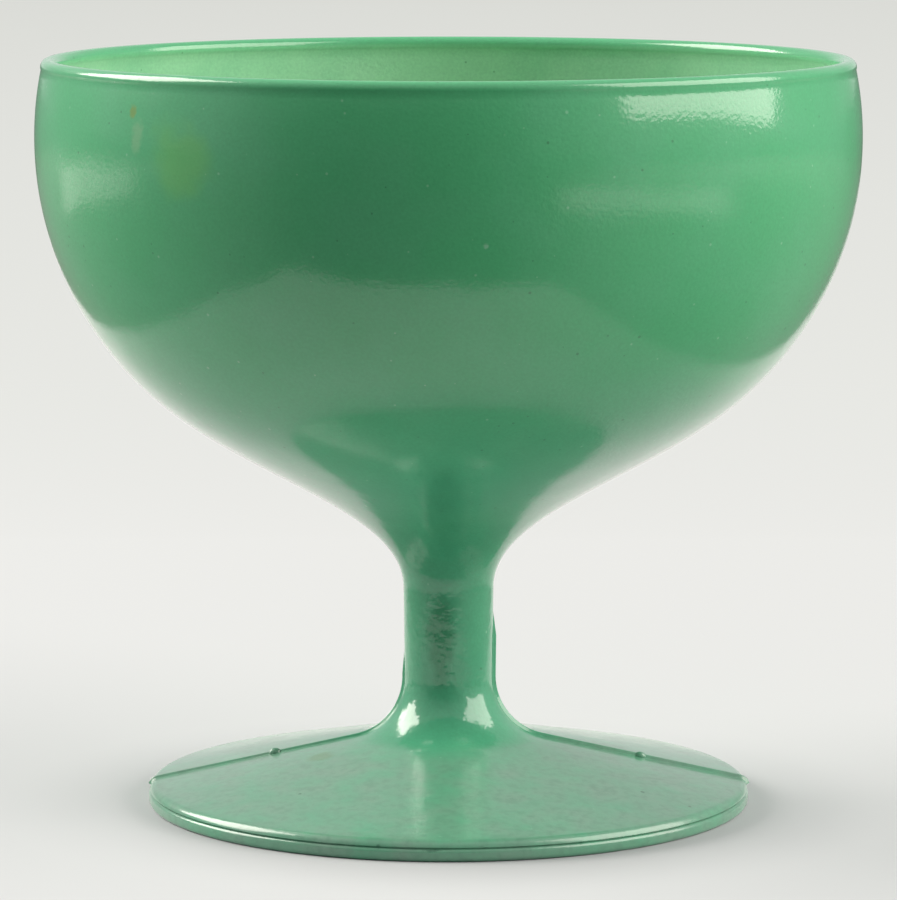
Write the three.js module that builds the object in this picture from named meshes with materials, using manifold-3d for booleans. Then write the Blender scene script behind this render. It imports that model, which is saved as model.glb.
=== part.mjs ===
// A footed sherbet glass in opaque green glass: a blown bowl fused to a stem and foot that were
// pressed in a two-part mould. Millimetres, +Z up. The origin is the centre of the resting plane,
// and the mould seam lies in the plane y = 0.
import * as THREE from "three";
import { mergeVertices } from "three/addons/utils/BufferGeometryUtils.js";
import Module from "manifold-3d";

const wasm = await Module();
wasm.setup();

// Foot: a straight cone, hollowed a little underneath so that it rests on a ring. Its edge is a small
// roll at the rim, a fine groove above it, and a wider roll at the shoulder that runs into the cone.
const footRadius = 35;
const footSlope = THREE.MathUtils.degToRad(12.1);
const edgeUnderRadius = 0.5;
const rimRollRise = 0.52;
const rimRollRadius = 0.5;
const rimRollAngle = THREE.MathUtils.degToRad(70);
const grooveDepth = 0.28;
const grooveRise = 0.54;
const shoulderRise = 0.4;
const shoulderRadius = 1.05;
const shoulderInset = 0.1;
const shoulderAngle = THREE.MathUtils.degToRad(12);
const restRingWidth = 7.5;
const hollowDepth = 1.6;

// Neck: the fillet that turns the foot's cone up into the stem, parted where it has turned half way
const neckFilletRadius = 7.3;
const neckPartingAngle = THREE.MathUtils.degToRad(45);

// Stem
const stemBaseRadius = 5.13;
const stemTopRadius = 5.25;
const stemLength = 15.6;

// Bowl outside: a flare that leaves the stem upright, then one arc up to the lip
const bowlRadius = 47.5;
const bowlHeight = 61.65;
const widestBelowLip = 9.25;
const sideArcRadius = 39.5;
const flareSlope = THREE.MathUtils.degToRad(37.2);
const flareStemPull = 8.4;
const flareBowlPull = 13.2;

// Bowl inside: a wall that thickens downwards, a shallow dish at the bottom, a bead at the lip
const lipWall = 1.7;
const wallGain = 0.6;
const dishAngle = THREE.MathUtils.degToRad(22);
const lipBeadSwell = 0.08;

// Mould seam: a fin on both sides of the foot and stem, with one nub on each side of the foot. The
// mould closed less tightly on the right, so the fin there is wider and climbs further up the stem.
const rightSeamWidth = 0.42;
const rightSeamHeight = 0.38;
const rightStemSeamLength = 13;
const rightNubRadius = 22.4;
const leftSeamWidth = 0.32;
const leftSeamHeight = 0.26;
const leftStemSeamLength = 8.5;
const leftNubRadius = 20.3;
const seamRunOut = 3;
const seamRoot = 0.8;
const seamOverhangAngle = THREE.MathUtils.degToRad(16);
const nubHalfLength = 0.75;
const nubHalfWidth = 0.5;
const nubHeight = 0.6;

// Facets
const turnSteps = 72;
const flareSteps = 12;
const sideSteps = 12;
const beadSteps = 7;
const dishSteps = 4;
const filletSteps = 4;
const edgeSteps = 3;
const hollowSteps = 4;
const nubTurnSteps = 12;
const nubRiseSteps = 6;

// Places that follow from the sizes. In a profile x is the distance from the axis and y the height.
const quarterTurn = Math.PI / 2;
const rimCentre = new THREE.Vector2(footRadius - rimRollRadius, edgeUnderRadius + rimRollRise);
const shoulderReach = footRadius - shoulderInset - shoulderRadius;
const shoulderCentre = new THREE.Vector2(shoulderReach, rimCentre.y + shoulderRise);
const coneFoot = onCircle(shoulderCentre, shoulderRadius, quarterTurn - footSlope);
const neckCentre = neckFilletCentre();
const footJointHeight = neckCentre.y - neckFilletRadius * Math.sin(neckPartingAngle);
const bowlJointHeight = footJointHeight + stemLength;
const lipHeight = bowlJointHeight + bowlHeight;
const sideCentre = new THREE.Vector2(bowlRadius - sideArcRadius, lipHeight - widestBelowLip);
const insideCentre = new THREE.Vector2(sideCentre.x, sideCentre.y + wallGain);
const insideArcRadius = sideArcRadius - lipWall;
const lipBeadRadius = lipWall / 2 + lipBeadSwell;

// The point of a circle at an angle counted from the profile's +x direction.
function onCircle(centre, radius, angle) {
  return new THREE.Vector2(centre.x + radius * Math.cos(angle), centre.y + radius * Math.sin(angle));
}

// Points along an arc from one angle to another.
function arc(centre, radius, from, to, steps) {
  const curve = new THREE.EllipseCurve(centre.x, centre.y, radius, radius, from, to, to < from);
  return curve.getPoints(steps);
}

// Height of the foot's top at a distance from the axis.
function coneHeight(distance) {
  return coneFoot.y + (coneFoot.x - distance) * Math.tan(footSlope);
}

// Centre of the fillet that touches both the cone and the stem.
function neckFilletCentre() {
  const distance = stemBaseRadius + neckFilletRadius;
  return new THREE.Vector2(distance, coneHeight(distance) + neckFilletRadius / Math.cos(footSlope));
}

// Angle on a circle round the neck fillet's centre, on the side of the stem, at a height.
function neckAngleAt(height, radius) {
  return Math.PI + Math.asin((neckCentre.y - height) / radius);
}

// A profile turned round the axis. It runs anticlockwise seen with the axis on the left.
function turned(profile) {
  return new THREE.LatheGeometry(profile, turnSteps).rotateX(quarterTurn);
}

// A flat outline in the plane of the axis, thickened evenly to both sides of the plane y = 0.
function plate(outline, thickness) {
  const options = { depth: thickness, bevelEnabled: false };
  const geometry = new THREE.ExtrudeGeometry(new THREE.Shape(outline), options);
  return geometry.rotateX(quarterTurn).translate(0, thickness / 2, 0);
}

function solidOf(geometry) {
  geometry.deleteAttribute("normal");
  geometry.deleteAttribute("uv");
  const merged = mergeVertices(geometry);
  const vertProperties = merged.getAttribute("position").array;
  const triVerts = new Uint32Array(merged.index.array);
  return new wasm.Manifold(new wasm.Mesh({ numProp: 3, vertProperties, triVerts }));
}

function geometryOf(solid) {
  const { vertProperties, triVerts } = solid.getMesh();
  const geometry = new THREE.BufferGeometry();
  geometry.setAttribute("position", new THREE.BufferAttribute(vertProperties, 3));
  geometry.setIndex(new THREE.BufferAttribute(triVerts, 1));
  geometry.computeVertexNormals();
  return geometry;
}

// Underside hollow, resting ring, rim roll, groove, shoulder, cone and the neck fillet's lower half.
function footProfile() {
  const ringOuter = footRadius - edgeUnderRadius;
  const ringInner = ringOuter - restRingWidth;
  const hollowRadius = (ringInner ** 2 + hollowDepth ** 2) / (2 * hollowDepth);
  const hollowCentre = new THREE.Vector2(0, hollowDepth - hollowRadius);
  const hollowAngle = quarterTurn - Math.asin(ringInner / hollowRadius);
  const underCentre = new THREE.Vector2(ringOuter, edgeUnderRadius);
  const partingAngle = Math.PI + neckPartingAngle;
  return [
    ...arc(hollowCentre, hollowRadius, quarterTurn, hollowAngle, hollowSteps),
    ...arc(underCentre, edgeUnderRadius, -quarterTurn, 0, edgeSteps),
    ...arc(rimCentre, rimRollRadius, 0, rimRollAngle, edgeSteps),
    new THREE.Vector2(footRadius - grooveDepth, rimCentre.y + grooveRise),
    ...arc(shoulderCentre, shoulderRadius, shoulderAngle, quarterTurn - footSlope, edgeSteps),
    ...arc(neckCentre, neckFilletRadius, 3 * quarterTurn - footSlope, partingAngle, filletSteps),
    new THREE.Vector2(0, footJointHeight),
  ];
}

// The fin over the foot, from just above the groove, over the shoulder and up to the parting plane.
function footSeamOutline(height) {
  const shoulderCrest = shoulderRadius + height;
  const crestRadius = neckFilletRadius - height;
  const rootRadius = neckFilletRadius + seamRoot;
  const shoulderEnd = quarterTurn - footSlope;
  const coneAngle = 3 * quarterTurn - footSlope;
  return [
    onCircle(shoulderCentre, shoulderRadius - seamRoot, seamOverhangAngle),
    ...arc(shoulderCentre, shoulderCrest, seamOverhangAngle, shoulderEnd, edgeSteps),
    ...arc(neckCentre, crestRadius, coneAngle, neckAngleAt(footJointHeight, crestRadius), filletSteps),
    ...arc(neckCentre, rootRadius, neckAngleAt(footJointHeight, rootRadius), coneAngle, filletSteps),
    onCircle(shoulderCentre, shoulderRadius - seamRoot, shoulderEnd),
  ];
}

// A smooth lump where the two halves of the mould were vented, lying along the fin.
function nub(distance) {
  const geometry = new THREE.SphereGeometry(1, nubTurnSteps, nubRiseSteps);
  geometry.scale(nubHalfLength, nubHalfWidth, nubHeight);
  geometry.rotateY(footSlope);
  return geometry.translate(distance, 0, coneHeight(distance));
}

function footGeometry() {
  const rightFin = solidOf(plate(footSeamOutline(rightSeamHeight), rightSeamWidth));
  const leftFin = solidOf(plate(footSeamOutline(leftSeamHeight), leftSeamWidth).rotateZ(Math.PI));
  const rightNub = solidOf(nub(rightNubRadius));
  const leftNub = solidOf(nub(leftNubRadius).rotateZ(Math.PI));
  const seam = rightFin.add(leftFin).add(rightNub).add(leftNub);
  return geometryOf(solidOf(turned(footProfile())).add(seam));
}

// Upper half of the neck fillet and the slightly tapered shaft.
function stemProfile() {
  return [
    new THREE.Vector2(0, footJointHeight),
    ...arc(neckCentre, neckFilletRadius, Math.PI + neckPartingAngle, Math.PI, filletSteps),
    new THREE.Vector2(stemTopRadius, bowlJointHeight),
    new THREE.Vector2(0, bowlJointHeight),
  ];
}

// The fin up the stem, which fades out below the bowl.
function stemSeamOutline(height, length) {
  const crestRadius = neckFilletRadius - height;
  const rootRadius = neckFilletRadius + seamRoot;
  const top = footJointHeight + length;
  const taper = (stemBaseRadius - stemTopRadius) / (bowlJointHeight - neckCentre.y);
  const shaftRadius = (level) => stemBaseRadius - taper * (level - neckCentre.y);
  const fullTop = top - seamRunOut;
  return [
    ...arc(neckCentre, crestRadius, neckAngleAt(footJointHeight, crestRadius), Math.PI, filletSteps),
    new THREE.Vector2(shaftRadius(fullTop) + height, fullTop),
    new THREE.Vector2(shaftRadius(top), top),
    new THREE.Vector2(shaftRadius(top) - seamRoot, top),
    ...arc(neckCentre, rootRadius, Math.PI, neckAngleAt(footJointHeight, rootRadius), filletSteps),
  ];
}

function stemGeometry() {
  const rightOutline = stemSeamOutline(rightSeamHeight, rightStemSeamLength);
  const leftOutline = stemSeamOutline(leftSeamHeight, leftStemSeamLength);
  const rightFin = solidOf(plate(rightOutline, rightSeamWidth));
  const leftFin = solidOf(plate(leftOutline, leftSeamWidth).rotateZ(Math.PI));
  return geometryOf(solidOf(turned(stemProfile())).add(rightFin).add(leftFin));
}

// The outward flare from the stem to the lower end of the side arc, as one curve with no corner.
function flareCurve() {
  const start = new THREE.Vector2(stemTopRadius, bowlJointHeight);
  const end = onCircle(sideCentre, sideArcRadius, flareSlope - quarterTurn);
  return new THREE.CubicBezierCurve(
    start,
    new THREE.Vector2(start.x, start.y + flareStemPull),
    new THREE.Vector2(
      end.x - flareBowlPull * Math.cos(flareSlope),
      end.y - flareBowlPull * Math.sin(flareSlope),
    ),
    end,
  );
}

// Angle at a circle's centre between a second circle's centre and the point where they cross.
function crossingAngle(radius, distance, otherRadius) {
  const cosine = (radius ** 2 + distance ** 2 - otherRadius ** 2) / (2 * radius * distance);
  return Math.acos(cosine);
}

// Outside from the stem to the lip, over the bead, and down inside to the middle of the dish.
function bowlProfile() {
  const beadHeight = lipHeight - lipBeadRadius;
  const outsideAngle = Math.asin((beadHeight - sideCentre.y) / sideArcRadius);
  const insideAngle = Math.asin((beadHeight - insideCentre.y) / insideArcRadius);
  const outside = onCircle(sideCentre, sideArcRadius, outsideAngle);
  const inside = onCircle(insideCentre, insideArcRadius, insideAngle);
  const beadCentre = new THREE.Vector2((outside.x + inside.x) / 2, beadHeight);
  const sideEnd = meetingAngle(sideCentre, sideArcRadius, beadCentre);
  const insideEnd = meetingAngle(insideCentre, insideArcRadius, beadCentre);
  const beadStart = angleFrom(beadCentre, onCircle(sideCentre, sideArcRadius, sideEnd));
  const beadEnd = angleFrom(beadCentre, onCircle(insideCentre, insideArcRadius, insideEnd));
  const dishTop = onCircle(insideCentre, insideArcRadius, dishAngle - quarterTurn);
  const dishRadius = dishTop.x / Math.sin(dishAngle);
  const dishCentre = new THREE.Vector2(0, dishTop.y + dishRadius * Math.cos(dishAngle));
  return [
    new THREE.Vector2(0, bowlJointHeight),
    ...flareCurve().getPoints(flareSteps),
    ...arc(sideCentre, sideArcRadius, flareSlope - quarterTurn, sideEnd, sideSteps).slice(1),
    ...arc(beadCentre, lipBeadRadius, beadStart, beadEnd + 2 * Math.PI, beadSteps).slice(1),
    ...arc(insideCentre, insideArcRadius, insideEnd, dishAngle - quarterTurn, sideSteps).slice(1),
    ...arc(dishCentre, dishRadius, dishAngle - quarterTurn, -quarterTurn, dishSteps).slice(1),
  ];
}

// Angle on a wall's circle at which the wall runs into the bead from below.
function meetingAngle(centre, radius, beadCentre) {
  const toBead = angleFrom(centre, beadCentre);
  const distance = centre.distanceTo(beadCentre);
  return toBead - crossingAngle(radius, distance, lipBeadRadius);
}

function angleFrom(centre, point) {
  return Math.atan2(point.y - centre.y, point.x - centre.x);
}

function bowlGeometry() {
  return turned(bowlProfile());
}

// A named piece in the opaque green glass. Blown glass is a little smoother than pressed glass.
function glassPiece(name, geometry, roughness) {
  const material = new THREE.MeshStandardMaterial({ color: 0x58a27b, roughness, metalness: 0 });
  const mesh = new THREE.Mesh(geometry, material);
  mesh.name = name;
  return mesh;
}

const blownRoughness = 0.12;
const pressedRoughness = 0.18;
const sherbetGlass = new THREE.Group();
sherbetGlass.add(glassPiece("bowl", bowlGeometry(), blownRoughness));
sherbetGlass.add(glassPiece("stem", stemGeometry(), pressedRoughness));
sherbetGlass.add(glassPiece("foot", footGeometry(), pressedRoughness));

export default sherbetGlass;
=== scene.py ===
"""A footed sherbet glass in opaque jade-green glass, standing in a small studio.

The foot and stem are pressed in one two-part mould, so they are modelled as one body with its mould
seam and then parted at the neck. The blown bowl is turned by itself and stands on the stem.
Everything is in metres, with the mould seam in the plane y = 0 and the camera on the side of -Y.
"""

import logging
import math
from collections.abc import Mapping, Sequence
from dataclasses import dataclass, field
from enum import Enum

import bpy
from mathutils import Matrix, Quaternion, Vector
from mathutils.geometry import interpolate_bezier


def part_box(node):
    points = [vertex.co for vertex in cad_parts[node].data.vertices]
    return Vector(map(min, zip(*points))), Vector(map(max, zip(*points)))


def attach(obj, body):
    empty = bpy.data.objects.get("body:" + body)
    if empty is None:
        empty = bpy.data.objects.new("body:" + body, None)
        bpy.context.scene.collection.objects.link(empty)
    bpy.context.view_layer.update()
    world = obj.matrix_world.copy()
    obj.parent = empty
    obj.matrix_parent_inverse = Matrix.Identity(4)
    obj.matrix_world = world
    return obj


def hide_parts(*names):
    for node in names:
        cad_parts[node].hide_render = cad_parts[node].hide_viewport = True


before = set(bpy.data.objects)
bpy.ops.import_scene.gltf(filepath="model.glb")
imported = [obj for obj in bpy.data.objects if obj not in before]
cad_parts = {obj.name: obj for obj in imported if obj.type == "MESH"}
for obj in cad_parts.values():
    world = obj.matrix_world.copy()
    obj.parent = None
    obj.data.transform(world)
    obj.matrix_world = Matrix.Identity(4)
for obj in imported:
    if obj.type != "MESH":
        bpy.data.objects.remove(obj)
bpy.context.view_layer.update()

log = logging.getLogger("sherbet_glass")

MM = 0.001
FULL_TURN = 2 * math.pi
QUARTER_TURN = math.pi / 2
NOISE_MEAN = 0.5
SAME_PLACE = 0.001 * MM
TURN_STEPS = 180
SMOOTH_ANGLE = math.radians(32)

Colour = tuple[float, float, float]
Place = tuple[float, float, float]
Span = tuple[float, float]


class Side(Enum):
    """The two sides of the mould seam, as seen from the front."""

    LEFT = -1
    RIGHT = 1


# Drawing and modelling


def on_circle(centre: Vector, radius: float, angle: float) -> Vector:
    """Gives a point of a circle.

    Args:
        centre: Middle of the circle, as distance from the axis and height.
        radius: Radius of the circle.
        angle: Angle counted from the direction away from the axis.

    Returns:
        The point, as distance from the axis and height.
    """
    return centre + radius * Vector((math.cos(angle), math.sin(angle)))


def at_height(centre: Vector, radius: float, height: float) -> Vector:
    """Gives the point of a circle at some height, on the side away from the axis.

    Args:
        centre: Middle of the circle, as distance from the axis and height.
        radius: Radius of the circle.
        height: Height of the point.

    Returns:
        The point, as distance from the axis and height.
    """
    return on_circle(centre, radius, math.asin((height - centre.y) / radius))


class Profile:
    """A line in the plane of the axis that a piece is turned from: distance from the axis, height."""

    def __init__(self) -> None:
        """Starts a profile with no points."""
        self.points: list[Vector] = []

    def to(self, distance: float, height: float) -> "Profile":
        """Goes straight on to a point, unless the line is there already.

        Args:
            distance: Distance of the point from the axis.
            height: Height of the point.

        Returns:
            The profile itself.
        """
        point = Vector((distance, height))
        if not self.points or (point - self.points[-1]).length > SAME_PLACE:
            self.points.append(point)
        return self

    def line(self, distance: float, height: float, steps: int) -> "Profile":
        """Goes straight on to a point in several even steps.

        Args:
            distance: Distance of the last point from the axis.
            height: Height of the last point.
            steps: Number of steps.

        Returns:
            The profile itself.
        """
        start, end = self.points[-1], Vector((distance, height))
        for step in range(1, steps + 1):
            self.to(*start.lerp(end, step / steps))
        return self

    def arc(self, centre: Vector, radius: float, start: float, end: float, steps: int) -> "Profile":
        """Goes on along a round stretch.

        Args:
            centre: Middle of the circle.
            radius: Radius of the circle.
            start: Angle of the first point.
            end: Angle of the last point.
            steps: Number of steps.

        Returns:
            The profile itself.
        """
        for step in range(steps + 1):
            self.to(*on_circle(centre, radius, start + (end - start) * step / steps))
        return self

    def curve(self, handles: Sequence[Vector], steps: int) -> "Profile":
        """Goes on along a smooth curve.

        Args:
            handles: Start, two handles and end of the curve.
            steps: Number of steps.

        Returns:
            The profile itself.
        """
        for point in interpolate_bezier(*handles, steps + 1):
            self.to(*point)
        return self

    def places(self) -> list[Vector]:
        """Gives the profile's points in the plane y = 0."""
        return [Vector((point.x, 0, point.y)) for point in self.points]


def select_only(piece: bpy.types.Object) -> None:
    """Makes a piece the active one and the only one that is selected.

    Args:
        piece: The piece to select.
    """
    bpy.ops.object.select_all(action="DESELECT")
    bpy.context.view_layer.objects.active = piece
    piece.select_set(True)


def extrude(*steps: Vector) -> None:
    """Extrudes what is selected by one step after another.

    Args:
        steps: The moves, in order.
    """
    for step in steps:
        bpy.ops.mesh.extrude_region_move(TRANSFORM_OT_translate={"value": step})


def draw_line(name: str, places: Sequence[Vector]) -> bpy.types.Object:
    """Draws a line of edges: a small plane is merged to one point and that is extruded along.

    Args:
        name: Name of the new piece.
        places: The points of the line.

    Returns:
        The new piece, in edit mode.
    """
    bpy.ops.object.select_all(action="DESELECT")
    bpy.ops.mesh.primitive_plane_add(size=MM)
    piece = bpy.context.object
    piece.name = name
    piece.data.name = name
    bpy.ops.object.mode_set(mode="EDIT")
    bpy.ops.mesh.merge(type="CENTER")
    bpy.ops.transform.translate(value=places[0])
    extrude(*(end - start for start, end in zip(places, places[1:])))
    return piece


def close_skin() -> None:
    """Merges doubled points, turns the faces outwards and leaves edit mode."""
    bpy.ops.mesh.select_all(action="SELECT")
    bpy.ops.mesh.remove_doubles(threshold=SAME_PLACE)
    bpy.ops.mesh.normals_make_consistent(inside=False)
    bpy.ops.object.mode_set(mode="OBJECT")


def turn(name: str, profile: Profile) -> bpy.types.Object:
    """Turns a profile once round the axis.

    Args:
        name: Name of the new piece.
        profile: A profile that starts and ends on the axis.

    Returns:
        The closed piece, in object mode.
    """
    piece = draw_line(name, profile.places())
    bpy.ops.mesh.select_all(action="SELECT")
    bpy.ops.mesh.spin(steps=TURN_STEPS, angle=FULL_TURN, center=(0, 0, 0), axis=(0, 0, 1))
    close_skin()
    return piece


def unite(piece: bpy.types.Object, addition: bpy.types.Object) -> None:
    """Joins an addition to a piece as one skin.

    Args:
        piece: The piece that stays.
        addition: The piece that is taken up, and is gone afterwards.
    """
    bpy.context.view_layer.objects.active = piece
    union = piece.modifiers.new("union", "BOOLEAN")
    union.operation = "UNION"
    union.solver = "EXACT"
    union.use_self = True
    union.object = addition
    bpy.ops.object.modifier_apply(modifier=union.name)
    bpy.data.objects.remove(addition)


def part_at(piece: bpy.types.Object, height: float, keep_below: bool) -> None:
    """Cuts a piece level and closes the cut.

    Args:
        piece: The piece to cut.
        height: Height of the cut.
        keep_below: Whether the lower part stays, or else the upper one.
    """
    select_only(piece)
    bpy.ops.object.mode_set(mode="EDIT")
    bpy.ops.mesh.select_all(action="SELECT")
    bpy.ops.mesh.bisect(
        plane_co=(0, 0, height),
        plane_no=(0, 0, 1),
        use_fill=True,
        clear_outer=keep_below,
        clear_inner=not keep_below,
        threshold=SAME_PLACE,
    )
    close_skin()


def smooth(piece: bpy.types.Object) -> None:
    """Shades a piece smoothly, apart from its real corners.

    Args:
        piece: The piece to shade.
    """
    select_only(piece)
    bpy.ops.object.shade_smooth_by_angle(angle=SMOOTH_ANGLE)


# Shader building


class Value:
    """A node's output that can be used in Python arithmetic, each step of which adds a Math node."""

    def __init__(self, shader: "Shader", socket: bpy.types.NodeSocket) -> None:
        """Wraps an output.

        Args:
            shader: The shader that the output belongs to.
            socket: The output.
        """
        self.shader = shader
        self.socket = socket

    def maths(self, operation: str, *operands: "Value | float") -> "Value":
        """Adds a Math node.

        Args:
            operation: Name of the operation.
            operands: Its inputs, in order.

        Returns:
            The node's result.
        """
        return self.shader.add("ShaderNodeMath", {"operation": operation}, dict(enumerate(operands)))

    def __add__(self, other: "Value | float") -> "Value":
        """Adds."""
        return self.maths("ADD", self, other)

    def __radd__(self, other: float) -> "Value":
        """Adds to a number."""
        return self.maths("ADD", other, self)

    def __sub__(self, other: "Value | float") -> "Value":
        """Subtracts."""
        return self.maths("SUBTRACT", self, other)

    def __rsub__(self, other: float) -> "Value":
        """Subtracts from a number."""
        return self.maths("SUBTRACT", other, self)

    def __mul__(self, other: "Value | float") -> "Value":
        """Multiplies."""
        return self.maths("MULTIPLY", self, other)

    def __rmul__(self, other: float) -> "Value":
        """Multiplies a number."""
        return self.maths("MULTIPLY", other, self)

    def __truediv__(self, other: "Value | float") -> "Value":
        """Divides."""
        return self.maths("DIVIDE", self, other)

    def __pow__(self, other: "Value | float") -> "Value":
        """Raises to a power."""
        return self.maths("POWER", self, other)

    def larger(self, other: "Value | float") -> "Value":
        """Takes the larger of two values."""
        return self.maths("MAXIMUM", self, other)

    def moved(self, target: "Value | float", share: "Value") -> "Value":
        """Moves the value towards a target.

        Args:
            target: Where it goes.
            share: How much of the way it goes.

        Returns:
            The moved value.
        """
        return self + share * (target - self)

    def rise(self, start: float, end: float) -> "Value":
        """Goes smoothly from 0 to 1, or from 1 to 0 where start is above end.

        Args:
            start: Where the value leaves 0.
            end: Where the value reaches 1.

        Returns:
            The smoothed step.
        """
        low, high = sorted((start, end))
        bottom, top = (0.0, 1.0) if start < end else (1.0, 0.0)
        inputs = {"Value": self, "From Min": low, "From Max": high, "To Min": bottom, "To Max": top}
        return self.shader.add("ShaderNodeMapRange", {"interpolation_type": "SMOOTHSTEP"}, inputs)

    def blend(self, first: "Value | Colour", second: "Value | Colour") -> "Value":
        """Mixes two colours by this value.

        Args:
            first: The colour where the value is 0.
            second: The colour where it is 1.

        Returns:
            The mixed colour.
        """
        colours = [c if isinstance(c, Value) else (*c, 1.0) for c in (first, second)]
        inputs = {"Factor": self, 6: colours[0], 7: colours[1]}
        return self.shader.add("ShaderNodeMix", {"data_type": "RGBA"}, inputs, "Result")

    def parts(self) -> "tuple[Value, ...]":
        """Splits a place, direction or colour into its three parts."""
        return self.shader.several("ShaderNodeSeparateXYZ", {"Vector": self}, "X", "Y", "Z")

    def measured(self, operation: str, *others: Place) -> "Value":
        """Measures a place or direction, such as its length or its distance from another.

        Args:
            operation: Name of the operation.
            others: What it is measured against, if anything.

        Returns:
            The measure.
        """
        inputs = dict(enumerate((self, *others)))
        return self.shader.add("ShaderNodeVectorMath", {"operation": operation}, inputs, "Value")

    def noise(self, grain: float, detail: float = 2.0) -> "Value":
        """Adds noise that is read at this place.

        Args:
            grain: Size of its patches, in metres.
            detail: How many finer layers it has.

        Returns:
            A value round NOISE_MEAN.
        """
        inputs = {"Vector": self, "Scale": 1 / grain, "Detail": detail}
        return self.shader.add("ShaderNodeTexNoise", {}, inputs)

    def stretched(self, stretch: Place) -> "Value":
        """Scales a place so that what is read at it is stretched.

        Args:
            stretch: How many times longer that is along x, y and z.

        Returns:
            The scaled place.
        """
        scale = [1 / amount for amount in stretch]
        return self.shader.add("ShaderNodeMapping", {}, {"Vector": self, "Scale": scale})


class Shader:
    """The nodes of one material or world."""

    def __init__(self, owner: "bpy.types.Material | bpy.types.World") -> None:
        """Starts with no nodes.

        Args:
            owner: The material or world.
        """
        owner.use_nodes = True
        self.tree = owner.node_tree
        self.tree.nodes.clear()

    def node(
        self, kind: str, settings: Mapping[str, object], inputs: Mapping[str | int, object]
    ) -> bpy.types.Node:
        """Adds any node.

        Args:
            kind: Type of the node.
            settings: Its settings, which are set first.
            inputs: Values or links of its inputs, by name or number.

        Returns:
            The node.
        """
        node = self.tree.nodes.new(kind)
        for name, setting in settings.items():
            setattr(node, name, setting)
        for key, value in inputs.items():
            if isinstance(value, Value):
                self.tree.links.new(value.socket, node.inputs[key])
            else:
                node.inputs[key].default_value = value
        return node

    def add(
        self,
        kind: str,
        settings: Mapping[str, object],
        inputs: Mapping[str | int, object],
        output: str | int = 0,
    ) -> Value:
        """Adds a node and gives one of its outputs.

        Args:
            kind: Type of the node.
            settings: Its settings.
            inputs: Values or links of its inputs.
            output: Name or number of the output.

        Returns:
            The output.
        """
        return Value(self, self.node(kind, settings, inputs).outputs[output])

    def place(self) -> Value:
        """Gives the place on the piece, in metres."""
        return self.add("ShaderNodeTexCoord", {}, {}, "Object")

    def several(self, kind: str, inputs: Mapping[str, object], *outputs: str) -> tuple[Value, ...]:
        """Adds a node and gives several of its outputs.

        Args:
            kind: Type of the node.
            inputs: Values or links of its inputs.
            outputs: Names of the outputs.

        Returns:
            The outputs, in order.
        """
        node = self.node(kind, {}, inputs)
        return tuple(Value(self, node.outputs[name]) for name in outputs)

    def finish(self, kind: str, surface: Value) -> None:
        """Ends the tree in its output node.

        Args:
            kind: Type of the output node.
            surface: What the surface shows.
        """
        self.node(kind, {"is_active_output": True}, {"Surface": surface})


# Finishes


@dataclass(frozen=True)
class GlassMark:
    """A small flaw in the glass: a stain, seed or chip, full in its core and ragged at its edge."""

    place: Place
    radius: float
    colour: Colour
    strength: float
    stretch: Place = (1, 1, 1)
    raggedness: float = 1.2
    core: float = 0.35


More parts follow.
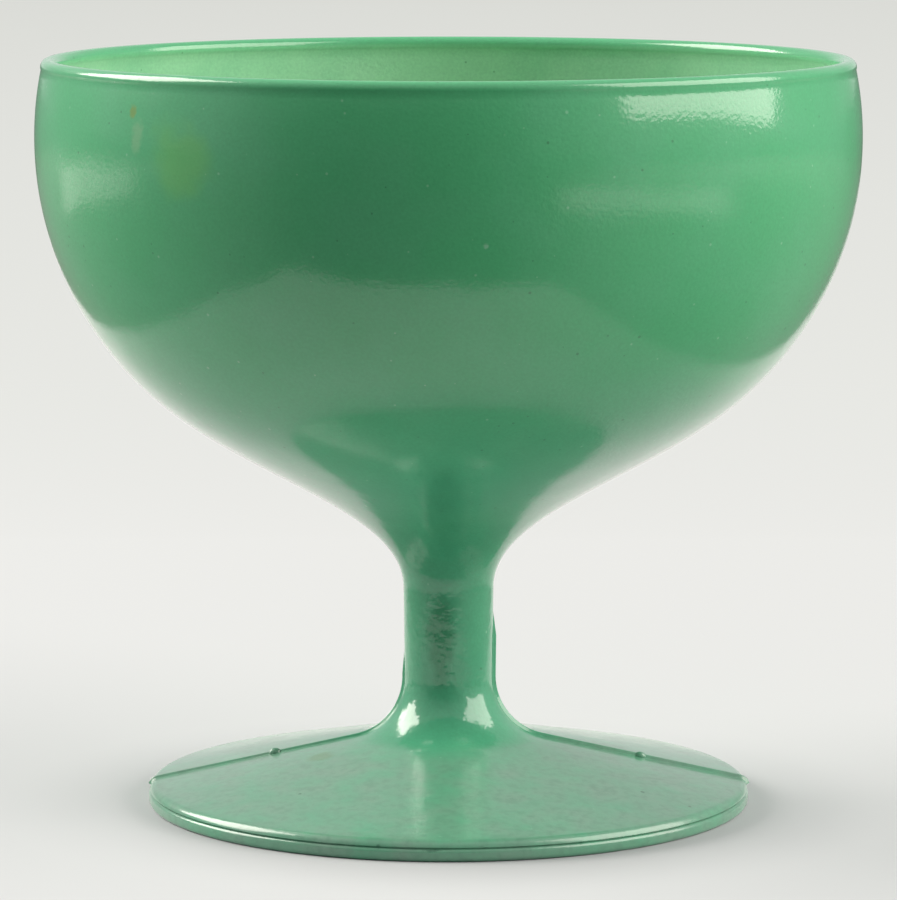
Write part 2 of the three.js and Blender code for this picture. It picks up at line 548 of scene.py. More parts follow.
@dataclass(frozen=True)
class JadeGlass:
    """Opaque jade-green glass: glossy, faintly rippled, with fine grain, seeds and small flaws.

    Low down it turns bluer and darker: the thick foot and stem are bluer than the blown wall, and
    the darkening is partly painted shade under the bowl. A faint haze lies over the polish.
    """

    name: str
    body: Colour = (0.075, 0.412, 0.182)
    # Bluer, darker colour low down: partly the pressed glass's own tint, partly painted shade under the
    # bowl.
    low_tint_and_shade: Colour = (0.067, 0.333, 0.188)
    cloud: Colour = (0.115, 0.425, 0.235)
    seed_dark: Colour = (0.040, 0.150, 0.075)
    seed_pale: Colour = (0.300, 0.560, 0.400)
    low_tint_and_shade_from: float = 60 * MM
    low_tint_and_shade_below: float = 36 * MM
    haze: float = 0.4
    haze_roughness: float = 0.32
    haze_refraction: float = 1.35
    polish_roughness: float = 0.105
    polish_refraction: float = 1.52
    least_roughness: float = 0.7
    roughness_gain: float = 0.6
    mottle: float = 11 * MM
    cloud_span: Span = (0.35, 0.75)
    cloud_strength: float = 0.35
    grain: float = 0.35 * MM
    grain_span: Span = (0.2, 0.8)
    grain_strength: float = 0.16
    seed_spacing: float = 1.7 * MM
    seed_radius: float = 0.17 * MM
    smallest_seed: float = 0.4
    seed_core: float = 0.5
    seed_share: float = 0.35
    dark_seed_strength: float = 0.5
    pale_seed_strength: float = 0.35
    pale_seed_shift: float = 13 * MM
    peel_size: float = 0.45 * MM
    peel_height: float = 0.018 * MM
    ripple_size: float = 5 * MM
    ripple_height: float = 0.05 * MM
    worn_level: float = 0.6
    marks: tuple[GlassMark, ...] = ()

    def seeds(self, place: Value, shift: float) -> Value:
        """Scatters small round seeds.

        Args:
            place: The place on the glass.
            shift: Moves the pattern, so that two sets of seeds differ.

        Returns:
            1 on a seed and 0 beside it.
        """
        shader = place.shader
        moved = shader.add("ShaderNodeMapping", {}, {"Vector": place, "Location": (shift, shift, 0)})
        inputs = {"Vector": moved, "Scale": 1 / self.seed_spacing}
        distance, colour = shader.several("ShaderNodeTexVoronoi", inputs, "Distance", "Color")
        chance, size, _ = colour.parts()
        reach = self.seed_radius / self.seed_spacing * (self.smallest_seed + size)
        spot = (distance / reach).rise(1.0, self.seed_core)
        return spot * chance.maths("LESS_THAN", chance, self.seed_share)

    def flaw(self, place: Value, mark: GlassMark) -> Value:
        """Finds where one flaw covers the glass.

        Args:
            place: The place on the glass.
            mark: The flaw.

        Returns:
            Its strength, from 0 beside it.
        """
        inputs = {0: place, 1: mark.place}
        offset = place.shader.add("ShaderNodeVectorMath", {"operation": "SUBTRACT"}, inputs)
        distance = offset.stretched(mark.stretch).measured("LENGTH")
        ragged = (place.noise(mark.radius) - NOISE_MEAN) * mark.raggedness
        return (distance / mark.radius + ragged).rise(1.0, mark.core) * mark.strength

    def colour(self, place: Value) -> Value:
        """Colours the glass.

        Args:
            place: The place on the glass.

        Returns:
            The base colour.
        """
        _, _, height = place.parts()
        # Towards the bottom the colour turns bluer and darker, partly as painted shade under the bowl.
        base = height.rise(self.low_tint_and_shade_from, self.low_tint_and_shade_below).blend(self.body, self.low_tint_and_shade)
        base = self.with_painted_light_through(base)
        clouds = place.noise(self.mottle, detail=4.0).rise(*self.cloud_span)
        base = (clouds * self.cloud_strength).blend(base, self.cloud)
        grains = place.noise(self.grain, detail=3.0).rise(*self.grain_span)
        base = (grains * self.grain_strength).blend(base, self.seed_dark)
        dark_seeds, pale_seeds = (self.seeds(place, shift) for shift in (0.0, self.pale_seed_shift))
        base = (dark_seeds * self.dark_seed_strength).blend(base, self.seed_dark)
        base = (pale_seeds * self.pale_seed_strength).blend(base, self.seed_pale)
        base = self.with_bloom_and_sheen(place, base)
        for mark in self.marks:
            base = self.flaw(place, mark).blend(base, mark.colour)
        return base

    def with_painted_light_through(self, base: Value) -> Value:
        """Paints in the light that shines through a thinner wall, which a thick piece has nowhere."""
        return base

    def worn(self, place: Value) -> Value | float:
        """Gives how far the surface is worn, which plain glass isn't."""
        return 0.0

    def with_bloom_and_sheen(self, place: Value, base: Value) -> Value:
        """Adds the hazy film of a worn surface, with its painted sheen, which plain glass hasn't."""
        return base

    def relief(self, place: Value) -> Value:
        """Makes the fire-polished ripples and the finer peel.

        Args:
            place: The place on the glass.

        Returns:
            The bumped normal.
        """
        ripples = place.noise(self.ripple_size, detail=1.0)
        peel = place.noise(self.peel_size, detail=1.0)
        height = ripples * self.ripple_height + peel * self.peel_height
        height = height * (1 - self.worn_level * self.worn(place))
        return place.shader.add("ShaderNodeBump", {}, {"Height": height, "Distance": 1.0})

    def material(self) -> bpy.types.Material:
        """Builds the material.

        Returns:
            The material.
        """
        material = bpy.data.materials.new(self.name)
        shader = Shader(material)
        place = shader.place()
        wear = self.least_roughness + self.roughness_gain * place.noise(self.mottle, detail=3.0)
        inputs = {
            "Base Color": self.colour(place),
            "Roughness": self.polish_roughness * wear * (1 + self.worn(place)),
            "IOR": self.polish_refraction,
            "Normal": self.relief(place),
            "Coat Weight": self.haze,
            "Coat Roughness": self.haze_roughness,
            "Coat IOR": self.haze_refraction,
        }
        surface = shader.add("ShaderNodeBsdfPrincipled", {}, inputs)
        shader.finish("ShaderNodeOutputMaterial", surface)
        return material


@dataclass(frozen=True)
class BlownGlass(JadeGlass):
    """The bowl's glass: light through its inner wall is painted in as a paler, yellower colour."""

    name: str = "blown_jade_glass"
    # Painted light: this paler, yellower colour stands in for light shining through the inner wall.
    painted_light_through: Colour = (0.315, 0.620, 0.385)
    wall_attribute: str = "inner_wall"
    marks: tuple[GlassMark, ...] = (
        GlassMark((-0.02885, -0.03773, 0.0776), 5.0 * MM, (0.130, 0.450, 0.110), 0.5),
        GlassMark((-0.03372, -0.03332, 0.0800), 1.2 * MM, (0.210, 0.440, 0.240), 0.5, (1, 1, 2)),
        GlassMark((-0.03419, -0.03246, 0.0826), 0.7 * MM, (0.170, 0.300, 0.070), 0.8, (1, 1, 1.4)),
        GlassMark((0.00397, -0.04647, 0.0692), 0.4 * MM, (0.250, 0.520, 0.350), 0.7),
    )

    def with_painted_light_through(self, base: Value) -> Value:
        """Paints the light through the inner wall in as a paler colour, where the bowl's own attribute
        marks.
        """
        settings = {"attribute_name": self.wall_attribute}
        return base.shader.add("ShaderNodeAttribute", settings, {}, "Fac").blend(base, self.painted_light_through)


@dataclass(frozen=True)
class PressedGlass(JadeGlass):
    """The foot's and stem's glass, wavier from the mould, hazy and with painted sheen on the foot's
    top.
    """

    name: str = "pressed_jade_glass"
    # Partly the worn top's hazy film, partly painted sheen standing in for its brighter reflection.
    bloom_and_sheen: Colour = (0.140, 0.280, 0.200)
    bloom_low: float = 6.3 * MM
    bloom_high: float = 8.3 * MM
    patch_size: float = 4 * MM
    patch_level: float = 0.7
    patch_contrast: float = 1.6
    scuffed: Colour = (0.050, 0.180, 0.110)
    scuff_size: float = 1.0 * MM
    scuff_span: Span = (0.4, 0.7)
    scuff_strength: float = 0.35
    polish_refraction: float = 1.54
    peel_size: float = 0.7 * MM
    peel_height: float = 0.035 * MM
    ripple_size: float = 3 * MM
    ripple_height: float = 0.08 * MM
    marks: tuple[GlassMark, ...] = (
        # A darker streak down the stem's front: partly the stem's mottle, partly painted shade.
        GlassMark((-0.0008, -0.0052, 0.0202), 2.2 * MM, (0.032, 0.200, 0.098), 0.7, (1, 1, 3)),
        GlassMark((-0.01485, -0.00678, 0.0062), 2.0 * MM, (0.090, 0.200, 0.080), 0.6),
        GlassMark((0.02214, -0.01562, 0.0040), 0.35 * MM, (0.030, 0.110, 0.060), 0.9),
        GlassMark((-0.01681, -0.01869, 0.0044), 0.3 * MM, (0.030, 0.110, 0.060), 0.8),
        GlassMark((0.02738, -0.01792, 0.0028), 0.3 * MM, (0.060, 0.120, 0.080), 0.8),
        GlassMark((-0.00777, -0.03412, 0.0016), 0.35 * MM, (0.020, 0.090, 0.050), 0.9),
        GlassMark((-0.00200, -0.03495, 0.0014), 0.3 * MM, (0.030, 0.120, 0.070), 0.8, (6, 1, 1)),
        GlassMark((0.01466, -0.03178, 0.0015), 0.35 * MM, (0.030, 0.120, 0.070), 0.8),
    )

    def worn(self, place: Value) -> Value:
        """Finds the foot's worn top, in uneven patches below the neck.

        Args:
            place: The place on the glass.

        Returns:
            How far the surface is worn there.
        """
        _, _, height = place.parts()
        patches = place.noise(self.patch_size, detail=5.0) - NOISE_MEAN
        patches = self.patch_level + self.patch_contrast * patches
        return height.rise(self.bloom_high, self.bloom_low) * patches

    def with_bloom_and_sheen(self, place: Value, base: Value) -> Value:
        """Makes the foot's worn top hazy, paints in its sheen, and adds fine scuffs.

        Args:
            place: The place on the glass.
            base: The colour without the hazy film and sheen.

        Returns:
            The colour with bloom and scuffs.
        """
        worn = self.worn(place)
        scuffs = place.noise(self.scuff_size, detail=5.0).rise(*self.scuff_span)
        # The worn top's grey colour is partly painted sheen.
        base = worn.blend(base, self.bloom_and_sheen)
        return (worn * scuffs * self.scuff_strength).blend(base, self.scuffed)


# The glass


@dataclass
class MouldFin:
    """The ridge that the parting line of the mould left on one side of the foot and stem."""

    side: Side
    width: float
    height: float
    stem_length: float
    nub_distance: float
    root: float = 0.5 * MM
    section_steps: int = 12
    run_out: float = 3 * MM
    overhang_angle: float = math.radians(16)
    nub_half_length: float = 0.75 * MM
    nub_half_width: float = 0.5 * MM
    nub_height: float = 0.6 * MM

    def section(self, angle: float, foot: Vector) -> list[Vector]:
        """Gives the outline across the fin: a rounded crest with hollow flanks.

        Args:
            angle: Direction that the fin stands in, counted from the direction away from the axis.
            foot: Point of the surface that it stands on, as distance from the axis and height.

        Returns:
            The corners of the outline.
        """
        corners = [(-self.width, -self.root)]
        for step in range(self.section_steps + 1):
            across = 2 * step / self.section_steps - 1
            corners.append((self.width * across, self.height * math.cos(QUARTER_TURN * across) ** 2))
        corners.append((self.width, -self.root))
        places = [(on_circle(foot, rise, angle), across) for across, rise in corners]
        return [Vector((place.x, across, place.y)) for place, across in places]


@dataclass
class PressedBase:
    """The foot and stem, pressed as one body and parted half way round the neck's fillet."""

    finish: JadeGlass
    foot_radius: float
    parting_height: float
    stem_top: float
    foot_slope: float = math.radians(12.1)
    edge_under_radius: float = 0.5 * MM
    rim_roll_height: float = 1.02 * MM
    rim_roll_radius: float = 0.5 * MM
    rim_roll_angle: float = math.radians(70)
    groove_depth: float = 0.28 * MM
    groove_height: float = 1.56 * MM
    shoulder_height: float = 1.42 * MM
    shoulder_radius: float = 1.05 * MM
    shoulder_inset: float = 0.1 * MM
    shoulder_angle: float = math.radians(12)
    rest_ring_width: float = 7.5 * MM
    hollow_depth: float = 1.6 * MM
    neck_radius: float = 7.3 * MM
    stem_base_radius: float = 5.13 * MM
    stem_top_radius: float = 5.25 * MM
    joint_margin: float = 0.05 * MM
    seam: tuple[MouldFin, ...] = (
        MouldFin(Side.LEFT, 0.32 * MM, 0.26 * MM, 8.5 * MM, 20.3 * MM),
        MouldFin(Side.RIGHT, 0.42 * MM, 0.38 * MM, 13 * MM, 22.4 * MM),
    )

    def shoulder_centre(self) -> Vector:
        """Gives the centre of the roll between the edge and the cone."""
        reach = self.foot_radius - self.shoulder_inset - self.shoulder_radius
        return Vector((reach, self.shoulder_height))

    def cone_foot(self) -> Vector:
        """Gives the point where the shoulder's roll runs into the cone."""
        return on_circle(self.shoulder_centre(), self.shoulder_radius, QUARTER_TURN - self.foot_slope)

    def cone_height(self, distance: float) -> float:
        """Gives the height of the foot's top.

        Args:
            distance: Distance from the axis.

        Returns:
            The height there.
        """
        foot = self.cone_foot()
        return foot.y + (foot.x - distance) * math.tan(self.foot_slope)

    def neck_centre(self) -> Vector:
        """Places the fillet between foot and stem.

        Returns:
            The centre of the circle that touches both the cone and the stem.
        """
        distance = self.stem_base_radius + self.neck_radius
        lift = self.neck_radius / math.cos(self.foot_slope)
        return Vector((distance, self.cone_height(distance) + lift))

    def profile(self) -> Profile:
        """Draws hollow, resting ring, edge, cone, fillet and stem.

        Returns:
            The profile, from the middle of the hollow to the middle of the stem's top.
        """
        ring_outer = self.foot_radius - self.edge_under_radius
        ring_inner = ring_outer - self.rest_ring_width
        hollow_radius = (ring_inner**2 + self.hollow_depth**2) / (2 * self.hollow_depth)
        hollow_centre = Vector((0, self.hollow_depth - hollow_radius))
        hollow_angle = math.acos(ring_inner / hollow_radius)
        under_centre = Vector((ring_outer, self.edge_under_radius))
        rim_centre = Vector((self.foot_radius - self.rim_roll_radius, self.rim_roll_height))
        neck = self.neck_centre()
        cone_angle = 3 * QUARTER_TURN - self.foot_slope
        parting_angle = math.pi + math.asin((neck.y - self.parting_height) / self.neck_radius)
        margin = self.joint_margin / self.neck_radius
        cone_end = on_circle(neck, self.neck_radius, cone_angle)
        line = Profile()
        shoulder, shoulder_end = self.shoulder_centre(), QUARTER_TURN - self.foot_slope
        line.arc(hollow_centre, hollow_radius, QUARTER_TURN, hollow_angle, steps=10)
        line.line(ring_outer, 0, steps=4)
        line.arc(under_centre, self.edge_under_radius, -QUARTER_TURN, 0, steps=6)
        line.arc(rim_centre, self.rim_roll_radius, 0, self.rim_roll_angle, steps=8)
        line.to(self.foot_radius - self.groove_depth, self.groove_height)
        line.arc(shoulder, self.shoulder_radius, self.shoulder_angle, shoulder_end, steps=14)
        line.line(*cone_end, steps=22)
        line.arc(neck, self.neck_radius, cone_angle, parting_angle + margin, steps=14)
        line.arc(neck, self.neck_radius, parting_angle - margin, math.pi, steps=16)
        line.line(self.stem_top_radius, self.stem_top - self.joint_margin, steps=18)
        return line.to(self.stem_top_radius, self.stem_top).to(0, self.stem_top)

    def fin(self, fin: MouldFin) -> bpy.types.Object:
        """Sweeps a fin over the edge, along the cone, round the fillet and up the stem.

        Args:
            fin: The fin to sweep.

        Returns:
            The fin as a closed piece.
        """
        shoulder, neck = self.shoulder_centre(), self.neck_centre()
        over_edge = QUARTER_TURN - self.foot_slope - fin.overhang_angle
        neck_turn = QUARTER_TURN - self.foot_slope
        start = on_circle(shoulder, self.shoulder_radius, fin.overhang_angle)
        outwards = on_circle(Vector((0, 0)), fin.height, fin.overhang_angle)
        cone = on_circle(neck, self.neck_radius, 3 * QUARTER_TURN - self.foot_slope) - self.cone_foot()
        stem_height = self.parting_height + fin.stem_length - neck.y
        lean = (self.stem_base_radius - self.stem_top_radius) / (self.stem_top - neck.y)
        full = stem_height - fin.run_out
        sunk_start = start - outwards
        piece = draw_line("mould_fin", fin.section(fin.overhang_angle, sunk_start))
        bpy.ops.mesh.select_all(action="SELECT")
        bpy.ops.mesh.edge_face_add()
        extrude(Vector((outwards.x, 0, outwards.y)))
        bpy.ops.mesh.spin(
            steps=8, angle=over_edge, center=(shoulder.x, 0, shoulder.y), axis=(0, 1, 0)
        )
        extrude(Vector((cone.x, 0, cone.y)))
        bpy.ops.mesh.spin(steps=20, angle=neck_turn, center=(neck.x, 0, neck.y), axis=(0, -1, 0))
        extrude(Vector((-lean * full, 0, full)), Vector((-fin.height, 0, fin.run_out)))
        close_skin()
        self.to_side(fin.side)
        return piece

    def to_side(self, side: Side) -> None:
        """Turns the active piece from the right half way round if it belongs on the left.

        Args:
            side: The side where the piece belongs.
        """
        bpy.ops.object.mode_set(mode="EDIT")
        bpy.ops.mesh.select_all(action="SELECT")
        if side is Side.LEFT:
            bpy.ops.transform.rotate(value=math.pi, orient_axis="Z", center_override=(0, 0, 0))
        bpy.ops.object.mode_set(mode="OBJECT")

    def nub(self, fin: MouldFin) -> bpy.types.Object:
        """Makes the lump that the mould's vent left on a fin.

        Args:
            fin: The fin that the nub stands on.

        Returns:
            The nub.
        """
        place = (fin.nub_distance, 0, self.cone_height(fin.nub_distance))
        half_sizes = (fin.nub_half_length, fin.nub_half_width, fin.nub_height)
        bpy.ops.object.select_all(action="DESELECT")
        bpy.ops.mesh.primitive_uv_sphere_add(
            segments=32, ring_count=16, radius=1, location=place, rotation=(0, self.foot_slope, 0)
        )
        nub = bpy.context.object
        nub.scale = half_sizes
        bpy.ops.object.transform_apply(location=True, rotation=True, scale=True)
        self.to_side(fin.side)
        return nub

    def build(self) -> tuple[bpy.types.Object, bpy.types.Object]:
        """Turns the body, adds the mould seam, and parts the foot from the stem.

        Returns:
            The foot and the stem.
        """
        foot = turn("pressed_foot", self.profile())
        for fin in self.seam:
            ridge = self.fin(fin)
            unite(ridge, self.nub(fin))
            unite(foot, ridge)
        stem = foot.copy()
        stem.data = foot.data.copy()
        stem.name = "pressed_stem"
        bpy.context.collection.objects.link(stem)
        part_at(foot, self.parting_height, keep_below=True)
        part_at(stem, self.parting_height, keep_below=False)
        material = self.finish.material()
        for piece, node in ((foot, "foot"), (stem, "stem")):
            smooth(piece)
            piece.data.materials.append(material)
            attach(piece, "root")
            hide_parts(node)
        return foot, stem


@dataclass
class BlownBowl:
    """The bowl: a flare that leaves the stem upright, a round side, a rolled lip and an inner wall."""

    finish: BlownGlass
    joint_height: float
    lip_height: float
    radius: float
    stem_radius: float = 5.25 * MM
    widest_below_lip: float = 9.25 * MM
    side_arc_radius: float = 39.5 * MM
    flare_slope: float = math.radians(37.2)
    flare_stem_pull: float = 8.4 * MM
    flare_bowl_pull: float = 13.2 * MM
    lip_wall: float = 1.7 * MM
    wall_gain: float = 0.6 * MM
    dish_angle: float = math.radians(22)
    lip_swell: float = 0.08 * MM
    joint_margin: float = 0.05 * MM
    inner_wall_margin: float = 0.5 * MM
    lip_band: float = 0.6 * MM
    lip_fade: float = 1.0 * MM

    def side_centre(self) -> Vector:
        """Gives the centre of the outside's round stretch."""
        return Vector((self.radius - self.side_arc_radius, self.lip_height - self.widest_below_lip))

    def inside_centre(self) -> Vector:
        """Gives the centre of the inside's round stretch."""
        return self.side_centre() + Vector((0, self.wall_gain))

    def inside_radius(self) -> float:
        """Gives the radius of the inside's round stretch."""
        return self.side_arc_radius - self.lip_wall

    def dish(self) -> tuple[Vector, float]:
        """Places the shallow dish at the bottom of the inside.

        Returns:
            Its centre and radius.
        """
        top = on_circle(self.inside_centre(), self.inside_radius(), self.dish_angle - QUARTER_TURN)
        radius = top.x / math.sin(self.dish_angle)
        return Vector((0, top.y + radius * math.cos(self.dish_angle))), radius

    def meeting(self, centre: Vector, radius: float, bead: Vector, bead_radius: float) -> float:
        """Finds where a wall runs into the lip's bead.

        Args:
            centre: Centre of the wall's circle.
            radius: Radius of the wall's circle.
            bead: Centre of the bead.
            bead_radius: Radius of the bead.

        Returns:
            The angle on the wall's circle.
        """
        to_bead = bead - centre
        reach = to_bead.length
        cosine = (radius**2 + reach**2 - bead_radius**2) / (2 * radius * reach)
        return math.atan2(to_bead.y, to_bead.x) - math.acos(cosine)

    def profile(self) -> Profile:
        """Draws the joint, flare, side, lip, inner wall and dish.

        Returns:
            The profile, from the middle of the joint to the middle of the dish.
        """
        side, inside = self.side_centre(), self.inside_centre()
        bead_radius = self.lip_wall / 2 + self.lip_swell
        bead_height = self.lip_height - bead_radius
        outer = at_height(side, self.side_arc_radius, bead_height)
        inner = at_height(inside, self.inside_radius(), bead_height)
        bead = Vector(((outer.x + inner.x) / 2, bead_height))
        side_end = self.meeting(side, self.side_arc_radius, bead, bead_radius)
        inside_end = self.meeting(inside, self.inside_radius(), bead, bead_radius)
        bead_start = on_circle(side, self.side_arc_radius, side_end) - bead
        bead_end = on_circle(inside, self.inside_radius(), inside_end) - bead
        start_angle = math.atan2(bead_start.y, bead_start.x)
        end_angle = math.atan2(bead_end.y, bead_end.x) % FULL_TURN
        flare_end = on_circle(side, self.side_arc_radius, self.flare_slope - QUARTER_TURN)
        stem_edge = Vector((self.stem_radius, self.joint_height))
        back = self.flare_bowl_pull * Vector((math.cos(self.flare_slope), math.sin(self.flare_slope)))
        flare_start = stem_edge + Vector((0, self.joint_margin))
        upwards = Vector((0, self.flare_stem_pull))
        dish_centre, dish_radius = self.dish()
        dish_start = self.dish_angle - QUARTER_TURN
        line = Profile().to(0, self.joint_height).to(*stem_edge)
        line.curve((flare_start, flare_start + upwards, flare_end - back, flare_end), steps=44)
        line.arc(side, self.side_arc_radius, self.flare_slope - QUARTER_TURN, side_end, steps=60)
        line.arc(bead, bead_radius, start_angle, end_angle, steps=16)
        line.arc(inside, self.inside_radius(), inside_end, dish_start, steps=48)
        return line.arc(dish_centre, dish_radius, dish_start, -QUARTER_TURN, steps=14)

    def mark_inner_wall(self, bowl: bpy.types.Object) -> None:
        """Writes an attribute that is 1 on the inner wall and 0 on the outside and the lip.

        Args:
            bowl: The turned bowl.
        """
        dish_centre, dish_radius = self.dish()
        dish_edge = self.inside_radius() * math.sin(self.dish_angle) + self.inside_centre().x
        halfway = self.side_arc_radius - self.lip_wall / 2
        # This attribute masks where the light through the inner wall is painted.
        attribute = bowl.data.attributes.new(self.finish.wall_attribute, "FLOAT", "POINT")
        for vertex, stored in zip(bowl.data.vertices, attribute.data):
            place = Vector((math.hypot(vertex.co.x, vertex.co.y), vertex.co.z))
            in_side = (place - self.side_centre()).length < halfway
            in_dish = (place - dish_centre).length < dish_radius + self.inner_wall_margin
            inside = in_side or (in_dish and place.x <= dish_edge + self.inner_wall_margin)
            below_lip = (self.lip_height - place.y - self.lip_band) / self.lip_fade
            stored.value = float(inside) * min(max(below_lip, 0), 1)

    def build(self) -> bpy.types.Object:
        """Turns the bowl and dresses it.

        Returns:
            The bowl.
        """
        bowl = turn("blown_bowl", self.profile())
        self.mark_inner_wall(bowl)
        smooth(bowl)
        bowl.data.materials.append(self.finish.material())
        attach(bowl, "root")
        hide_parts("bowl")
        return bowl


# The studio


@dataclass(frozen=True)
class Softbox:
    """A rectangular lamp that faces the glass. Azimuths count from the camera's side to the right."""

    name: str
    azimuths: Span
    elevations: Span
    radiance: float
    roll: float = 0.0
    tint: Colour = (1.0, 0.93, 0.86)
    distance: float = 1.1
    aim_height: float = 80 * MM

    def build(self) -> None:
        """Hangs the lamp."""
        azimuth = math.radians(sum(self.azimuths) / 2)
        elevation = math.radians(sum(self.elevations) / 2)
        level = math.cos(elevation)
        direction = Vector((level * math.sin(azimuth), -level * math.cos(azimuth), math.sin(elevation)))
        width, height = (
            2 * self.distance * math.tan(math.radians(high - low) / 2)
            for low, high in (self.azimuths, self.elevations)
        )
        facing = Quaternion(direction, math.radians(self.roll)) @ direction.to_track_quat("Z", "Y")
        bpy.ops.object.light_add(
            type="AREA",
            location=direction * self.distance + Vector((0, 0, self.aim_height)),
            rotation=facing.to_euler(),
        )
        lamp = bpy.context.object
        lamp.name = self.name
        lamp.visible_camera = False
        lamp.data.shape = "RECTANGLE"
        lamp.data.size = width
        lamp.data.size_y = height
        lamp.data.color = self.tint
        lamp.data.energy = math.pi * width * height * self.radiance


@dataclass(frozen=True)
class PaleStretch:
    """A paler side of the room's floor, seen only in reflections, with a bright band across it."""

    azimuth: float
    colour: Colour
    far_colour: Colour
    # The band is a painted reflection: it stands in for a softbox's sheen on the table.
    band: Colour
    band_azimuths: Span
    band_distances: Span
    full_within: float = 20.0
    none_beyond: float = 69.0
    band_blur: float = 6.0
    band_edge: float = 0.03
    band_far_edge: float = 0.09
    far_reach: float = 2.0

    def angle_mask(self, place: Value, azimuth: float, full: float, none: float) -> Value:
        """Finds what lies in one direction from the glass.

        Args:
            place: The place on the floor.
            azimuth: The direction, counted from the camera's side to the right.
            full: Angle from it within which the mask is 1.
            none: Angle from it beyond which the mask is 0.

        Returns:
            The mask.
        """
        turned = math.radians(azimuth)
        towards = place.measured("DOT_PRODUCT", (math.sin(turned), -math.cos(turned), 0))
        cosine = towards / place.measured("LENGTH")
        return cosine.rise(math.cos(math.radians(none)), math.cos(math.radians(full)))

    def over(self, place: Value, room: Value) -> Value:
        """Lays the stretch and its band over the room's floor.

        Args:
            place: The place on the floor.
            room: Colour of the floor so far.

        Returns:
            The floor's new colour.
        """
        distance = place.measured("LENGTH")
        near, far = self.band_distances
        floor = distance.rise(near, self.far_reach * far).blend(self.colour, self.far_colour)
        side = self.angle_mask(place, self.azimuth, self.full_within, self.none_beyond)
        first, last = self.band_azimuths
        middle, half_width = (first + last) / 2, (last - first) / 2
        band = self.angle_mask(place, middle, half_width - self.band_blur, half_width + self.band_blur)
        band = band * distance.rise(near - self.band_edge, near + self.band_edge)
        band = band * distance.rise(far + self.band_far_edge, far - self.band_edge)
        # Lays the painted reflection of the softbox, as a bright band, over the floor.
        return band.blend(side.blend(room, floor), self.band)


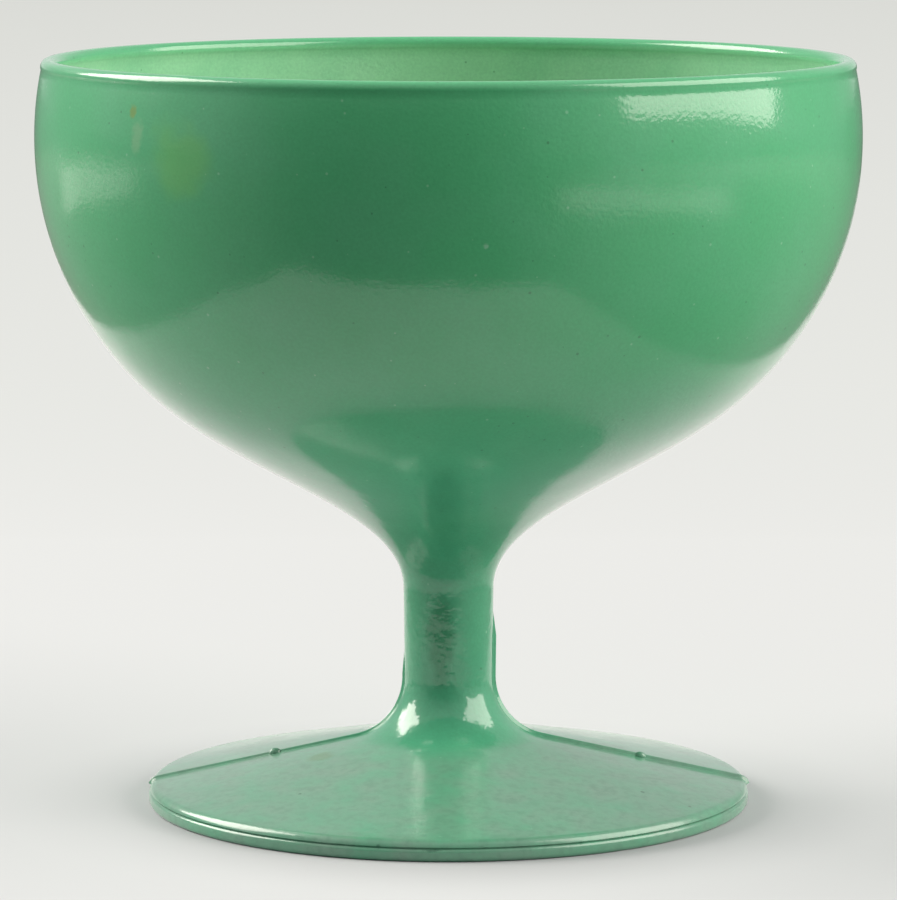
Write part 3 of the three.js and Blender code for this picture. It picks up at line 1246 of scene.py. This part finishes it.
@dataclass(frozen=True)
class Tabletop:
    """The pale table: all pale to the camera, and to reflections a pale pad on a darker room.

    Round the foot it takes the room's light, so that it shows the shadow, and in front of the foot a
    small painted shadow darkens it, to the camera and in reflections. Beyond that the camera sees it
    partly, and far back fully, even.
    """

    name: str = "pale_tabletop"
    radius: float = 6.0
    near: Colour = (0.507, 0.530, 0.551)
    middle: Colour = (0.850, 0.853, 0.820)
    far: Colour = (0.708, 0.716, 0.680)
    pad: Colour = (0.64, 0.64, 0.66)
    dark: Colour = (0.02, 0.02, 0.02)
    grey: Colour = (0.17, 0.17, 0.17)
    grey_depths: Span = (-0.1, 0.2)
    fade_from: float = 0.2
    fade_length: float = 1.9
    fade_power: float = 0.5
    evenness: float = 0.45
    even_depths: Span = (0.05, 0.40)
    stretches: tuple[PaleStretch, ...] = (
        PaleStretch(
            azimuth=80,
            colour=(0.28, 0.28, 0.28),
            far_colour=(0.45, 0.45, 0.45),
            band=(0.95, 0.95, 0.95),
            band_azimuths=(30, 78),
            band_distances=(0.27, 0.40),
        ),
        PaleStretch(
            azimuth=-98,
            colour=(0.21, 0.21, 0.21),
            far_colour=(0.36, 0.36, 0.36),
            band=(0.62, 0.62, 0.62),
            band_azimuths=(-131, -93),
            band_distances=(0.36, 0.68),
            band_blur=4,
        ),
    )
    # Painted shadow: a darker colour laid on the table in front of the foot, fading out between these
    # distances from its centre.
    painted_shadow: Colour = (0.405, 0.424, 0.441)
    painted_shadow_centre: Place = (0, -0.014, 0)
    painted_shadow_within: float = 20 * MM
    painted_shadow_beyond: float = 40 * MM
    shadow_within: float = 34 * MM
    shadow_fades_by: float = 54 * MM
    unlit_from: float = 0.8
    unlit_beyond: float = 1.3
    pad_corners: tuple[Span, ...] = (
        (-0.150, 0.800),
        (-0.112, 0.120),
        (-0.1045, -0.045),
        (-0.092, -0.106),
        (-0.024, -0.1135),
        (0.004, -0.1148),
        (0.049, -0.1095),
        (0.060, -0.096),
        (0.0625, -0.083),
        (0.099, 0.126),
        (0.200, 0.800),
    )
    pad_edge: float = 3 * MM

    def on_pad(self, place: Value) -> Value:
        """Finds the pale pad, which has straight sides and no hollow corner.

        Args:
            place: The place on the table.

        Returns:
            1 on the pad and 0 off it.
        """
        across, deep, _ = place.parts()
        back = self.pad_corners[0][1]
        inside = deep.rise(back + self.pad_edge, back - self.pad_edge)
        for start, end in zip(self.pad_corners, self.pad_corners[1:]):
            side = (Vector(end) - Vector(start)).normalized()
            within = Vector((-side.y, side.x))
            depth = across * within.x + deep * within.y - within.dot(Vector(start))
            inside = inside * depth.rise(-self.pad_edge, self.pad_edge)
        return inside

    def material(self) -> bpy.types.Material:
        """Builds the table's surface.

        Returns:
            The material.
        """
        material = bpy.data.materials.new(self.name)
        shader = Shader(material)
        place = shader.place()
        _, deep, _ = place.parts()
        distance = place.measured("LENGTH")
        room = deep.rise(*self.grey_depths).blend(self.dark, self.grey)
        for stretch in self.stretches:
            room = stretch.over(place, room)
        # The painted shadow in front of the foot darkens the table both to the camera and in
        # reflections.
        from_painted_shadow = place.measured("DISTANCE", self.painted_shadow_centre)
        shade = from_painted_shadow.rise(self.painted_shadow_beyond, self.painted_shadow_within)
        reflected = shade.blend(self.on_pad(place).blend(room, self.pad), self.painted_shadow)
        near = shade.blend(self.near, self.painted_shadow)
        seen, glossy = shader.several("ShaderNodeLightPath", {}, "Is Camera Ray", "Is Glossy Ray")
        lit = shader.add("ShaderNodeBsdfDiffuse", {}, {"Color": seen.blend(reflected, near)})
        fading = ((deep - self.fade_from).larger(0.0) / self.fade_length) ** self.fade_power
        backdrop = fading.blend(self.middle, self.far)
        even = shader.add("ShaderNodeEmission", {}, {"Color": seen.blend(reflected, backdrop)})
        evenness = self.evenness + (1 - self.evenness) * deep.rise(*self.even_depths)
        evenness = seen * evenness * distance.rise(self.shadow_within, self.shadow_fades_by)
        evenness = evenness + glossy * distance.rise(self.unlit_from, self.unlit_beyond)
        surface = shader.add("ShaderNodeMixShader", {}, {0: evenness, 1: lit, 2: even})
        shader.finish("ShaderNodeOutputMaterial", surface)
        return material

    def build(self) -> None:
        """Lays the table."""
        bpy.ops.object.select_all(action="DESELECT")
        bpy.ops.mesh.primitive_circle_add(vertices=128, radius=self.radius, fill_type="NGON")
        table = bpy.context.object
        table.name = self.name
        table.data.materials.append(self.material())


@dataclass(frozen=True)
class Room:
    """The room's light from all round: dim low in front, brighter overhead, pale to the camera.

    Reflections see it so, and the softer ambient light is what it sheds on surfaces. Each span gives
    the two heights, depths or reaches of a direction between which a light comes in.
    """

    pale: float = 0.70
    bright: float = 0.75
    overhead: float = 1.10
    overhead_heights: Span = (0.6, 0.95)
    corners: float = 0.45
    corner_depths: Span = (0.3, 0.7)
    corner_heights: Span = (0.35, 0.1)
    behind: float = 0.88
    behind_depths: Span = (0.86, 0.98)
    dim: float = 0.03
    dim_direction: Place = (-0.26, -0.96, 0.09)
    dim_nearness: Span = (0.5, 0.98)
    dim_heights: Span = (0.6, 0.2)
    low_ambient: float = 0.13
    high_ambient: float = 0.35
    ambient_heights: Span = (0.1, 0.9)
    side_ambient: float = 0.65
    side_reaches: Span = (0.5, 0.95)
    back_ambient: float = 0.7
    back_depths: Span = (0.3, 0.9)

    def build(self) -> None:
        """Lights the world."""
        world = bpy.data.worlds.new("studio_room")
        bpy.context.scene.world = world
        shader = Shader(world)
        direction = shader.add("ShaderNodeTexCoord", {}, {}, "Generated")
        across, deep, height = direction.parts()
        nearness = direction.measured("DOT_PRODUCT", self.dim_direction)
        light = self.bright + height.rise(*self.overhead_heights) * (self.overhead - self.bright)
        corner = deep.rise(*self.corner_depths) * height.rise(*self.corner_heights)
        light = light.moved(self.corners, corner).moved(self.behind, deep.rise(*self.behind_depths))
        shade = nearness.rise(*self.dim_nearness) * height.rise(*self.dim_heights)
        light = light.moved(self.dim, shade)
        diffuse, seen = shader.several("ShaderNodeLightPath", {}, "Is Diffuse Ray", "Is Camera Ray")
        rising = height.rise(*self.ambient_heights)
        ambient = self.low_ambient + rising * (self.high_ambient - self.low_ambient)
        sideways = across.maths("ABSOLUTE", across).rise(*self.side_reaches)
        ambient = ambient.moved(self.side_ambient, sideways)
        ambient = ambient.moved(self.back_ambient, deep.rise(*self.back_depths))
        strength = light.moved(ambient, diffuse).moved(self.pale, seen)
        surface = shader.add("ShaderNodeBackground", {}, {"Strength": strength})
        shader.finish("ShaderNodeOutputWorld", surface)


@dataclass(frozen=True)
class PictureCamera:
    """The long-lens camera of the picture."""

    distance: float = 0.5715
    height: float = 0.1184
    downward: float = math.radians(7.70)
    focal_length_mm: float = 198.9
    sensor_height_mm: float = 36

    def build(self) -> None:
        """Sets up the camera."""
        bpy.ops.object.camera_add(
            location=(0, -self.distance, self.height), rotation=(QUARTER_TURN - self.downward, 0, 0)
        )
        camera = bpy.context.object
        camera.data.sensor_fit = "VERTICAL"
        camera.data.sensor_height = self.sensor_height_mm
        camera.data.lens = self.focal_length_mm
        bpy.context.scene.camera = camera


@dataclass(frozen=True)
class Studio:
    """Table, room light, two softboxes and the camera."""

    table: Tabletop = field(default_factory=Tabletop)
    room: Room = field(default_factory=Room)
    camera: PictureCamera = field(default_factory=PictureCamera)
    softboxes: tuple[Softbox, ...] = (
        Softbox("right_softbox", (51, 105), (7, 52), 5.4, roll=-10),
        Softbox("left_softbox", (-127, -88), (14, 52), 10.0),
    )

    def build(self) -> None:
        """Sets up the studio."""
        bpy.context.scene.view_settings.view_transform = "Standard"
        self.table.build()
        self.room.build()
        self.camera.build()
        for softbox in self.softboxes:
            softbox.build()


def main() -> None:
    """Builds the studio, the pressed base and the blown bowl."""
    logging.basicConfig(level=logging.INFO, format="%(name)s: %(message)s")
    Studio().build()
    foot_top, stem_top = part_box("foot")[1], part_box("stem")[1]
    base = PressedBase(PressedGlass(), foot_top.y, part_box("stem")[0].z, stem_top.z)
    bowl_low, bowl_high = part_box("bowl")
    bowl = BlownBowl(BlownGlass(), bowl_low.z, bowl_high.z, bowl_high.x)
    for piece in (*base.build(), bowl.build()):
        log.info("%s: %d faces", piece.name, len(piece.data.polygons))


if __name__ == "__main__":
    main()
